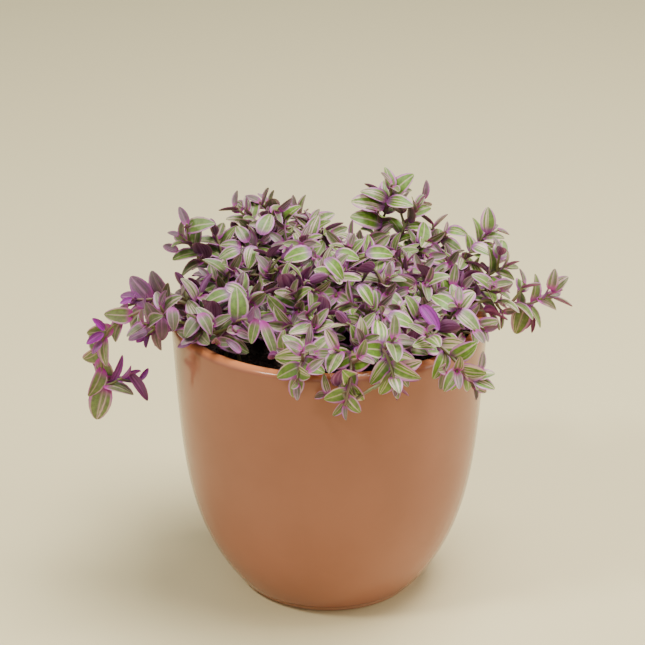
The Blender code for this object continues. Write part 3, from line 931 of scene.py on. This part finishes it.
class Leaf:
    """A leaf of a stem, with what it takes up for telling whether another one would cross it."""

    def __init__(self, template, owner, place, length, order):
        self.owner = owner
        self.place = place
        self.length = length
        self.order = order
        self.flush = 0.0
        self.form = None
        faces = [tuple(face.vertices) for face in template.polygons]
        wide = [place @ corner for corner in blade_corners(template, length, LEAF_GAP)]
        true = [place @ corner for corner in blade_corners(template, length, 0.0)]
        base = min(range(len(wide)), key=lambda i: (true[i] - place.translation).length)
        self.corners = wide
        self.tree = BVHTree.FromPolygons(wide, faces)
        self.blade = BVHTree.FromPolygons(true, [face for face in faces if base not in face])
        self.centre = place @ Vector((length / 2, 0, 0))

    def clears(self, other):
        """True if this leaf and the other keep apart; leaves of one stem may meet where they clasp it."""
        if self.owner == other.owner:
            return not self.blade.overlap(other.blade)
        return not self.tree.overlap(other.tree)

    def outline(self):
        """Points over the leaf: its corners, and the middles between them and its centre line."""
        middles = [(a + b) / 2 for i, a in enumerate(self.corners) for b in self.corners[:i]]
        return self.corners + middles


def named_leaves(template):
    """The single leaves that the solids have too."""
    leaves = []
    for name, *ends in NAMED_LEAVES:
        base, tip = (over_rim(end) for end in ends)
        leaves.append(Leaf(template, name, named_place(base, tip), (tip - base).length, SINGLE_ORDER))
    return leaves


def add_single_leaves(template, stems, leaves):
    """Add the dressed plant's own single leaves, each moved outwards until it has room."""
    others = np.vstack(list(stems.values()))
    for owner, base, tip, *looks in SINGLE_LEAVES:
        base, tip = over_rim(base), over_rim(tip)
        length = (tip - base).length
        for step in range(SINGLE_TRIES):
            out = SINGLE_PULL * step * MM
            leaf = Leaf(template, owner, named_place(base + out, tip + out), length, SINGLE_ORDER)
            leaf.flush, leaf.form = looks or (0, None)
            if has_room(leaf, leaves, others):
                leaves.append(leaf)
                break


def has_room(leaf, leaves, others):
    """True if the leaf clears the pot and soil, the other stems and every other leaf."""
    if not clears_pot(leaf.outline(), POT_GAP):
        return False
    near = others[np.linalg.norm(others - np.array(leaf.centre), axis=1) < leaf.length]
    reach = STEM_RADIUS + 2 * LEAF_GAP
    if any(leaf.tree.find_nearest(Vector(bead), reach)[0] for bead in near):
        return False
    if not leaves:
        return True
    apart = np.linalg.norm(np.array([other.centre for other in leaves]) - np.array(leaf.centre), axis=1)
    return all(leaf.clears(leaves[i]) for i in np.flatnonzero(apart < LEAF_REACH))


def grow_leaves(lines, stems, template, leaves, seed, length_per_leaf, slack):
    """Add the leaves of these lines, from the tips down, each turned until it is clear of all else."""
    draw = random.Random(seed)
    starts = {name: draw.uniform(0, 2 * math.pi) for name in lines}
    wanted = {name: round(line_length(line) / length_per_leaf) for name, line in lines.items()}
    before = len(leaves) if slack else 0
    bud_size, full_size = SIDE_SIZES if slack else LEAF_SIZES
    bud_spread, full_spread = SIDE_SPREADS if slack else LEAF_SPREADS
    distance = FIRST_LEAF
    for order in range(LEAF_ROUNDS):
        size = min(full_size, bud_size + SIZE_GROWTH * order)
        spread = full_spread - (full_spread - bud_spread) * math.exp(-SPREAD_RATE * order)
        for name, line in lines.items():
            base, way = back_from_tip(line, distance * MM)
            full = sum(leaf.owner == name for leaf in leaves[before:]) >= wanted[name]
            if base is None or full or not clears_pot([base], POT_GAP):
                continue
            others = np.vstack([own for owner, own in stems.items() if owner != name])
            length = LEAF_LENGTH * size * draw.uniform(*LENGTH_RANGE)
            lean = spread * SPREAD_SHARES.get(name, 1)
            for attempt in range(LEAF_TRIES):
                loose = attempt / LEAF_TRIES
                turn, tilt = (near + far * loose for near, far in (TURN_WANDER, TILT_WANDER))
                around = starts[name] + order * LEAF_TURN + draw.uniform(-1, 1) * math.radians(turn)
                tilt = math.radians(lean + draw.uniform(-1, 1) * tilt)
                light = side_light(base) * draw.uniform(1 - slack, 1) if slack else LIGHT_PULL
                leaf = Leaf(template, name, leaf_place(base, way, around, tilt, light), length, order)
                if has_room(leaf, leaves, others):
                    leaves.append(leaf)
                    break
        distance += min(FULL_SPACING, TIP_SPACING + SPACING_GROWTH * order)


# The dressed stems and leaves

FORMS = [
    {"fold": 0.26, "arch": 0.50, "twist": 0.0, "width": 1.0},
    {"fold": 0.38, "arch": 0.62, "twist": 0.25, "width": 0.94},
    {"fold": 0.18, "arch": 0.40, "twist": -0.20, "width": 1.05},
    {"fold": 0.65, "arch": 0.25, "twist": 0.1, "width": 0.78},
    {"fold": 0.75, "arch": 0.35, "twist": 0.1, "width": 0.50},
]
LEAF_SIDES = 8
LEAF_RINGS = 8
OUTLINE_SKEW = 0.80
OUTLINE_FULLNESS = 0.56
FOLD_ROUNDING = 1.25
FOLD_LEVEL = 0.6
RIM_THINNESS = 0.35
BUD_FORM = 3
BUD_LEAVES = 2
NARROW_FORM = 4


def fine_leaf(form, thickness):
    """A closed, folded and arched leaf of full length, with its place across and along kept as values."""
    work = bmesh.new()
    bmesh.ops.create_uvsphere(work, u_segments=LEAF_SIDES, v_segments=LEAF_RINGS, radius=1.0)
    bmesh.ops.rotate(work, verts=work.verts, matrix=Matrix.Rotation(math.pi / 2, 3, "Y"))
    across = work.verts.layers.float.new("across")
    along = work.verts.layers.float.new("along")
    below = work.faces.layers.float.new("underside")
    for face in work.faces:
        face[below] = 1.0 if face.calc_center_median().z < 0 else 0.0
        face.smooth = True
    for edge in work.edges:
        faces = [face[below] for face in edge.link_faces]
        edge.smooth = faces[0] == faces[1]
    for vertex in work.verts:
        share = (1 + max(-1.0, min(1.0, vertex.co.x))) / 2
        ring = math.sqrt(max(0.0, 1 - vertex.co.x ** 2))
        side, level = (vertex.co.y / ring, vertex.co.z / ring) if ring > 0.01 else (0.0, 0.0)
        place = RING_PLACES[0] + (RING_PLACES[-1] - RING_PLACES[0]) * share
        bulge = max(0.0, math.sin(math.pi * share ** OUTLINE_SKEW)) ** OUTLINE_FULLNESS
        half = form["width"] * LEAF_WIDTH / 2 * bulge
        arch = form["arch"] * LEAF_LENGTH * place * (ARCH_END - place)
        fold = form["fold"] * half * (abs(side) ** FOLD_ROUNDING - FOLD_LEVEL)
        turn = form["twist"] * share
        body = level * thickness / 2 * (RIM_THINNESS + (1 - RIM_THINNESS) * ring)
        vertex[across] = side
        vertex[along] = share
        height = arch + fold + side * half * math.sin(turn) + body
        vertex.co = Vector((place * LEAF_LENGTH, side * half * math.cos(turn), height))
    bmesh.ops.recalc_face_normals(work, faces=work.faces)
    return add_object("fine_leaf", mesh_of(work, "fine_leaf"))


def leaf_patches(tree, stretches, detail):
    """Patches on a leaf, with a stretch for across it, along it, and from leaf to leaf."""
    values = zip("XYZ", ("across", "along", "tone"), stretches)
    where = {axis: times(tree, attribute(tree, name), stretch) for axis, name, stretch in values}
    return noise(tree, add_node(tree, "ShaderNodeCombineXYZ", where), 1.0, detail)


def leaf_upper_side(tree, settings, bands):
    """The upper side: green and cream bands, a pale rib, a cream to pink margin and a magenta edge."""
    along = attribute(tree, "along")
    side = maths(tree, "ABSOLUTE", attribute(tree, "across"))
    lean = times(tree, maths(tree, "ADD", attribute(tree, "tone"), 0.1), 0.22)
    pale = ramp(tree, maths(tree, "SUBTRACT", bands, lean), 0.44, 0.56)
    rib = times(tree, ramp(tree, side, 0.13, 0.03), 0.6)
    streak = ramp(tree, mottle(tree, 500.0, 0.3), 0.35, 0.7)
    green = blend(tree, streak, [c * 0.56 for c in settings.green], settings.green)
    colour = blend(tree, maths(tree, "MAXIMUM", pale, rib), green, settings.cream)
    tones = leaf_patches(tree, (0.7, 1.6, 37.0), 1.0)
    foot_near = times(tree, ramp(tree, along, 0.55, 0.1), 0.14)
    blush = ramp(tree, maths(tree, "ADD", tones, foot_near), 0.30, 0.62)
    margin = blend(tree, blush, settings.cream, settings.pink)
    start = maths(tree, "SUBTRACT", 0.84, times(tree, tones, 0.26))
    rim = ramp(tree, maths(tree, "SUBTRACT", side, start), 0.0, 0.12)
    colour = blend(tree, times(tree, rim, 0.9), colour, margin)
    edge = times(tree, ramp(tree, side, 0.90, 1.0), maths(tree, "ADD", 0.4, times(tree, blush, 0.55)))
    return blend(tree, edge, colour, settings.magenta)


def leaf_material(settings):
    """A striped leaf, magenta at its foot and when young, mauve underneath, and darkened on the left of
    the mound by painted shade.
    """
    material, tree, shader = new_material("striped_leaf")
    along = attribute(tree, "along")
    youth = attribute(tree, "youth")
    bands = leaf_patches(tree, (4.2, 0.5, 61.0), 1.5)
    veins = ramp(tree, bands, 0.36, 0.62)
    flushed = blend(tree, veins, [c * 0.55 for c in settings.magenta], settings.magenta)
    excess = times(tree, maths(tree, "MAXIMUM", maths(tree, "SUBTRACT", youth, 0.9), 0.0), 0.4)
    bud = maths(tree, "ADD", times(tree, youth, 0.38), excess)
    young = maths(tree, "MAXIMUM", times(tree, ramp(tree, along, 0.34, 0.04), 0.85), bud)
    colour = blend(tree, young, leaf_upper_side(tree, settings, bands), flushed)
    rosette = times(tree, ramp(tree, youth, 0.25, 0.65), ramp(tree, youth, 1.5, 1.1))
    heart = times(tree, ramp(tree, along, 0.38, 0.08), rosette)
    colour = blend(tree, times(tree, heart, 0.75), colour, HEART_MAGENTA)
    beneath = blend(tree, veins, settings.mauve, PALE_MAUVE)
    beneath = blend(tree, times(tree, young, 0.4), beneath, flushed)
    spot = add_node(tree, "ShaderNodeSeparateXYZ", {0: object_place(tree)}).outputs
    rear = times(tree, ramp(tree, spot["Y"], 15.0 * MM, 45.0 * MM), 0.6)
    purpled = times(tree, attribute(tree, "underside"), maths(tree, "SUBTRACT", 1.0, rear))
    colour = blend(tree, purpled, colour, beneath)
    # Painted shade: leaves on the left of the mound, short of the far trail, are blended towards a
    # near-black purple
    left = ramp(tree, spot["X"], -15.0 * MM, -55.0 * MM)
    shade = times(tree, left, ramp(tree, spot["X"], -90.0 * MM, -75.0 * MM))
    feed(tree, shader, {
        "Base Color": blend(tree, times(tree, shade, 0.30), colour, PAINTED_SHADE_PURPLE),
        "Roughness": 0.46, "Specular IOR Level": 0.45, "Subsurface Weight": 0.12,
        "Subsurface Radius": (1.0, 0.6, 0.4), "Subsurface Scale": 0.8 * MM,
    })
    bump(tree, shader, leaf_patches(tree, (16.0, 1.0, 1.0), 2.0), 0.35, 0.25 * MM)
    return material


def stem_material():
    """Fleshy stems, olive with a brown and purple flush."""
    material, tree, shader = new_material("fleshy_stem")
    flush = ramp(tree, mottle(tree, 70.0, 0.3), 0.44, 0.70)
    feed(tree, shader, {
        "Base Color": blend(tree, flush, OLIVE, BROWN_FLUSH),
        "Roughness": 0.42, "Subsurface Weight": 0.1, "Subsurface Scale": 0.6 * MM,
    })
    bump(tree, shader, mottle(tree, 400.0, 0.5), 0.2, 0.2 * MM)
    return material


def foliage_tree(forms, leaf_finish, stem_finish):
    """Geometry nodes that put a tube on each line of edges, and a leaf on each loose point."""
    tree = bpy.data.node_groups.new("Leafy stems", "GeometryNodeTree")
    inputs = {"Geometry": "Geometry", "Leaf size": "Float", "Stem sides": "Int"}
    add_sockets(tree, inputs, {"Geometry": "Geometry"})
    inside = add_node(tree, "NodeGroupInput").outputs

    def value(name, kind="FLOAT"):
        node = add_node(tree, "GeometryNodeInputNamedAttribute", {"Name": name}, data_type=kind)
        return node.outputs["Attribute"]

    is_leaf = value("is_leaf", "BOOLEAN")
    parts = add_node(
        tree, "GeometryNodeSeparateGeometry", {"Geometry": inside[0], "Selection": is_leaf}, domain="POINT"
    )
    points = add_node(tree, "GeometryNodeMeshToPoints", {"Mesh": parts})
    looks = [{"Object": form, "As Instance": True} for form in reversed(forms)]
    shapes = [add_node(tree, "GeometryNodeObjectInfo", look) for look in looks]
    pool = join(tree, *[shape.outputs["Geometry"] for shape in shapes])
    turn = add_node(tree, "FunctionNodeEulerToRotation", {0: value("turn", "FLOAT_VECTOR")})
    scale = times(tree, value("size"), inside["Leaf size"])
    placed = add_node(
        tree, "GeometryNodeInstanceOnPoints",
        {"Points": points, "Instance": pool, "Pick Instance": True, "Instance Index": value("form", "INT"),
         "Rotation": turn, "Scale": scale},
    )
    leaves = add_node(tree, "GeometryNodeRealizeInstances", {0: placed})
    green = add_node(tree, "GeometryNodeSetMaterial", {"Geometry": leaves, "Material": leaf_finish})
    line = add_node(tree, "GeometryNodeMeshToCurve", {"Mesh": parts.outputs[1]})
    sides = {"Resolution": inside["Stem sides"], "Radius": 1.0}
    ring = add_node(tree, "GeometryNodeCurvePrimitiveCircle", sides)
    tube = add_node(
        tree, "GeometryNodeCurveToMesh",
        {"Curve": line, "Profile Curve": ring, "Scale": value("thick"), "Fill Caps": True},
    )
    round_tube = add_node(tree, "GeometryNodeSetShadeSmooth", {"Geometry": tube})
    bark = add_node(tree, "GeometryNodeSetMaterial", {"Geometry": round_tube, "Material": stem_finish})
    add_node(tree, "NodeGroupOutput", {0: join(tree, green, bark)})
    return tree


def set_values(mesh, name, kind, values):
    """Keep one value for each point of the mesh."""
    data = mesh.attributes.new(name, kind, "POINT").data
    key = "vector" if kind == "FLOAT_VECTOR" else "value"
    data.foreach_set(key, np.array(values, dtype=float if kind.startswith("FLOAT") else int).ravel())


def fine_line(line, first_radius):
    """A stem's line made finer, with a radius for each point: thin and thick in turn, like joints."""
    fine = [line[0], *curve([line[0] * 2 - line[1], *line, line[-1] * 2 - line[-2]], FINE_STEP)]
    last = len(fine) - 1
    radii = [first_radius + (TIP_RADIUS - first_radius) * i / last for i in range(last + 1)]
    return fine, [radius * SWELLINGS[i % 2] for i, radius in enumerate(radii)]


def foliage_mesh(name, lines, leaves):
    """A mesh of stem lines and loose leaf points, with the values that the geometry nodes read."""
    draw = random.Random(name)
    points, edges, radii = [], [], []
    for owner, line in lines.items():
        fine, thick = fine_line(line, SIDE_STEM_RADIUS if "." in owner else STEM_RADIUS)
        edges += [(len(points) + i, len(points) + i + 1) for i in range(len(fine) - 1)]
        points += fine
        radii += thick
    none = [0] * len(points)
    places = [leaf.place.translation for leaf in leaves]
    mesh = bpy.data.meshes.new(name)
    mesh.from_pydata(points + places, edges, [])
    forms = [BUD_FORM if leaf.order < BUD_LEAVES else draw.randrange(BUD_FORM) for leaf in leaves]
    forms = [form if leaf.form is None else leaf.form for form, leaf in zip(forms, leaves)]
    narrow = [(place - NARROW_SPOT).length < NARROW_RADIUS for place in places]
    forms = [NARROW_FORM if slim else form for form, slim in zip(forms, narrow)]
    asides = [max(0.0, -place.x / CROWN_RADIUS) for place in places]
    youths = [
        math.exp(-leaf.order / YOUTH_FADE) + leaf.flush + STEM_FLUSH.get(leaf.owner, 0)
        + NARROW_FLUSH * slim + LEFT_FLUSH * min(1.0, aside)
        for leaf, slim, aside in zip(leaves, narrow, asides)
    ]
    turns = [tuple(leaf.place.to_euler()) for leaf in leaves]
    set_values(mesh, "is_leaf", "BOOLEAN", none + [1] * len(leaves))
    set_values(mesh, "thick", "FLOAT", radii + [0.0] * len(leaves))
    set_values(mesh, "form", "INT", none + forms)
    set_values(mesh, "size", "FLOAT", none + [leaf.length / LEAF_LENGTH for leaf in leaves])
    set_values(mesh, "turn", "FLOAT_VECTOR", [(0, 0, 0)] * len(none) + turns)
    set_values(mesh, "tone", "FLOAT", none + [draw.random() + LEFT_TONE * aside for aside in asides])
    set_values(mesh, "youth", "FLOAT", none + youths)
    return mesh


def grown_plant():
    """All stems' lines, all added shoots' lines, and all leaves."""
    template = blade_template()
    lines = lay_stems()
    stems = {name: beads(line) for name, line in lines.items()}
    leaves = named_leaves(template)
    grow_leaves(lines, stems, template, leaves, SEED + 2, LENGTH_PER_LEAF, 0)
    add_single_leaves(template, stems, leaves)
    shoots = {**twig_lines(lines), **side_lines(lines)}
    stems.update({name: beads(line)[FREE_BEADS:] for name, line in shoots.items()})
    grow_leaves(shoots, stems, template, leaves, SEED + 4, SIDE_LENGTH_PER_LEAF, SLACK)
    short = {name: line for name, line in lines.items() if name not in LONG_STEMS}
    grow_leaves(short, stems, template, leaves, SEED + 6, SHORT_LENGTH_PER_LEAF, SLACK)
    return lines, shoots, leaves


class MakeFoliage(bpy.types.Operator):
    """Grow the stems, their side shoots and their striped leaves"""

    bl_idname = "turtle_vine.make_foliage"
    bl_label = "Make the stems and leaves"

    def execute(self, context):
        settings = context.scene.vine_foliage
        lines, shoots, leaves = grown_plant()
        forms = [fine_leaf(form, settings.thickness) for form in FORMS]
        tree = foliage_tree(forms, leaf_material(settings), stem_material())
        for group, starts in GROUPS.items():
            own = {name: line for name, line in {**lines, **shoots}.items() if name.startswith(starts)}
            own_leaves = [leaf for leaf in leaves if leaf.owner in own]
            piece = add_object(group, foliage_mesh(group, own, own_leaves))
            use_tree(piece, tree, **{"Leaf size": 1.0, "Stem sides": STEM_SIDES})
            made_plain(piece)
            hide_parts(*[name for name in lines if name in own])
            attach(piece, "root")
        for form in forms:
            bpy.data.objects.remove(form)
        return {"FINISHED"}


# The stage

def area_light(name, place, size, power, colour):
    """A soft rectangular light that faces the plant."""
    light = bpy.data.lights.new(name, "AREA")
    light.shape = "RECTANGLE"
    light.size, light.size_y = size
    light.energy = power
    light.color = colour
    lamp = add_object(name, light)
    lamp.location = place
    lamp.rotation_euler = (LIGHT_TARGET - Vector(place)).to_track_quat("-Z", "Y").to_euler()


class MakeStage(bpy.types.Operator):
    """Set the floor, the soft light and the camera"""

    bl_idname = "turtle_vine.make_stage"
    bl_label = "Make the stage"

    def execute(self, context):
        settings = context.scene.vine_stage
        bpy.ops.mesh.primitive_plane_add(size=8.0, location=(0, 0, -0.2 * MM))
        floor = context.object
        floor.name = "floor"
        material, tree, shader = new_material("pale_floor")
        feed(tree, shader, {"Base Color": (*settings.floor, 1.0), "Roughness": 0.55})
        floor.data.materials.append(material)
        world = context.scene.world or bpy.data.worlds.new("World")
        context.scene.world = world
        world.use_nodes = True
        sky = world.node_tree.nodes["Background"]
        feed(world.node_tree, sky, {"Color": (*SKY_COLOUR, 1.0), "Strength": SKY_STRENGTH})
        for light in LIGHTS:
            area_light(*light)
        camera = add_object("camera", bpy.data.cameras.new("camera"))
        camera.data.lens = settings.lens
        camera.data.sensor_width = 36.0
        camera.location = (-settings.aside, -settings.distance, settings.height)
        camera.rotation_euler = (math.pi / 2 - settings.tilt, 0, 0)
        context.scene.camera = camera
        return {"FINISHED"}


class VinePanel(bpy.types.Panel):
    """Lists the potted vine's pieces and their settings."""

    bl_idname = "VIEW3D_PT_turtle_vine"
    bl_label = "Potted turtle vine"
    bl_space_type = "VIEW_3D"
    bl_region_type = "UI"
    bl_category = "Turtle Vine"

    def draw(self, context):
        for operator, name in zip(OPERATORS, SETTINGS):
            settings = getattr(context.scene, name)
            box = self.layout.box()
            for key in settings.__annotations__:
                box.prop(settings, key)
            box.operator(operator.bl_idname)


SETTINGS = {
    "vine_pot": PotSettings, "vine_soil": SoilSettings,
    "vine_foliage": FoliageSettings, "vine_stage": StageSettings,
}
OPERATORS = [MakePot, MakeSoil, MakeFoliage, MakeStage]
CLASSES = [*SETTINGS.values(), *OPERATORS, VinePanel]


def register():
    """Register the classes and put their settings on the scene."""
    for cls in CLASSES:
        bpy.utils.register_class(cls)
    for name, cls in SETTINGS.items():
        setattr(bpy.types.Scene, name, PointerProperty(type=cls))


def unregister():
    """Take the settings and the classes away again."""
    for name in SETTINGS:
        delattr(bpy.types.Scene, name)
    for cls in reversed(CLASSES):
        bpy.utils.unregister_class(cls)


def main():
    """Make every piece and the stage."""
    register()
    bpy.ops.turtle_vine.make_pot()
    bpy.ops.turtle_vine.make_soil()
    bpy.ops.turtle_vine.make_foliage()
    bpy.ops.turtle_vine.make_stage()


if __name__ == "__main__":
    main()
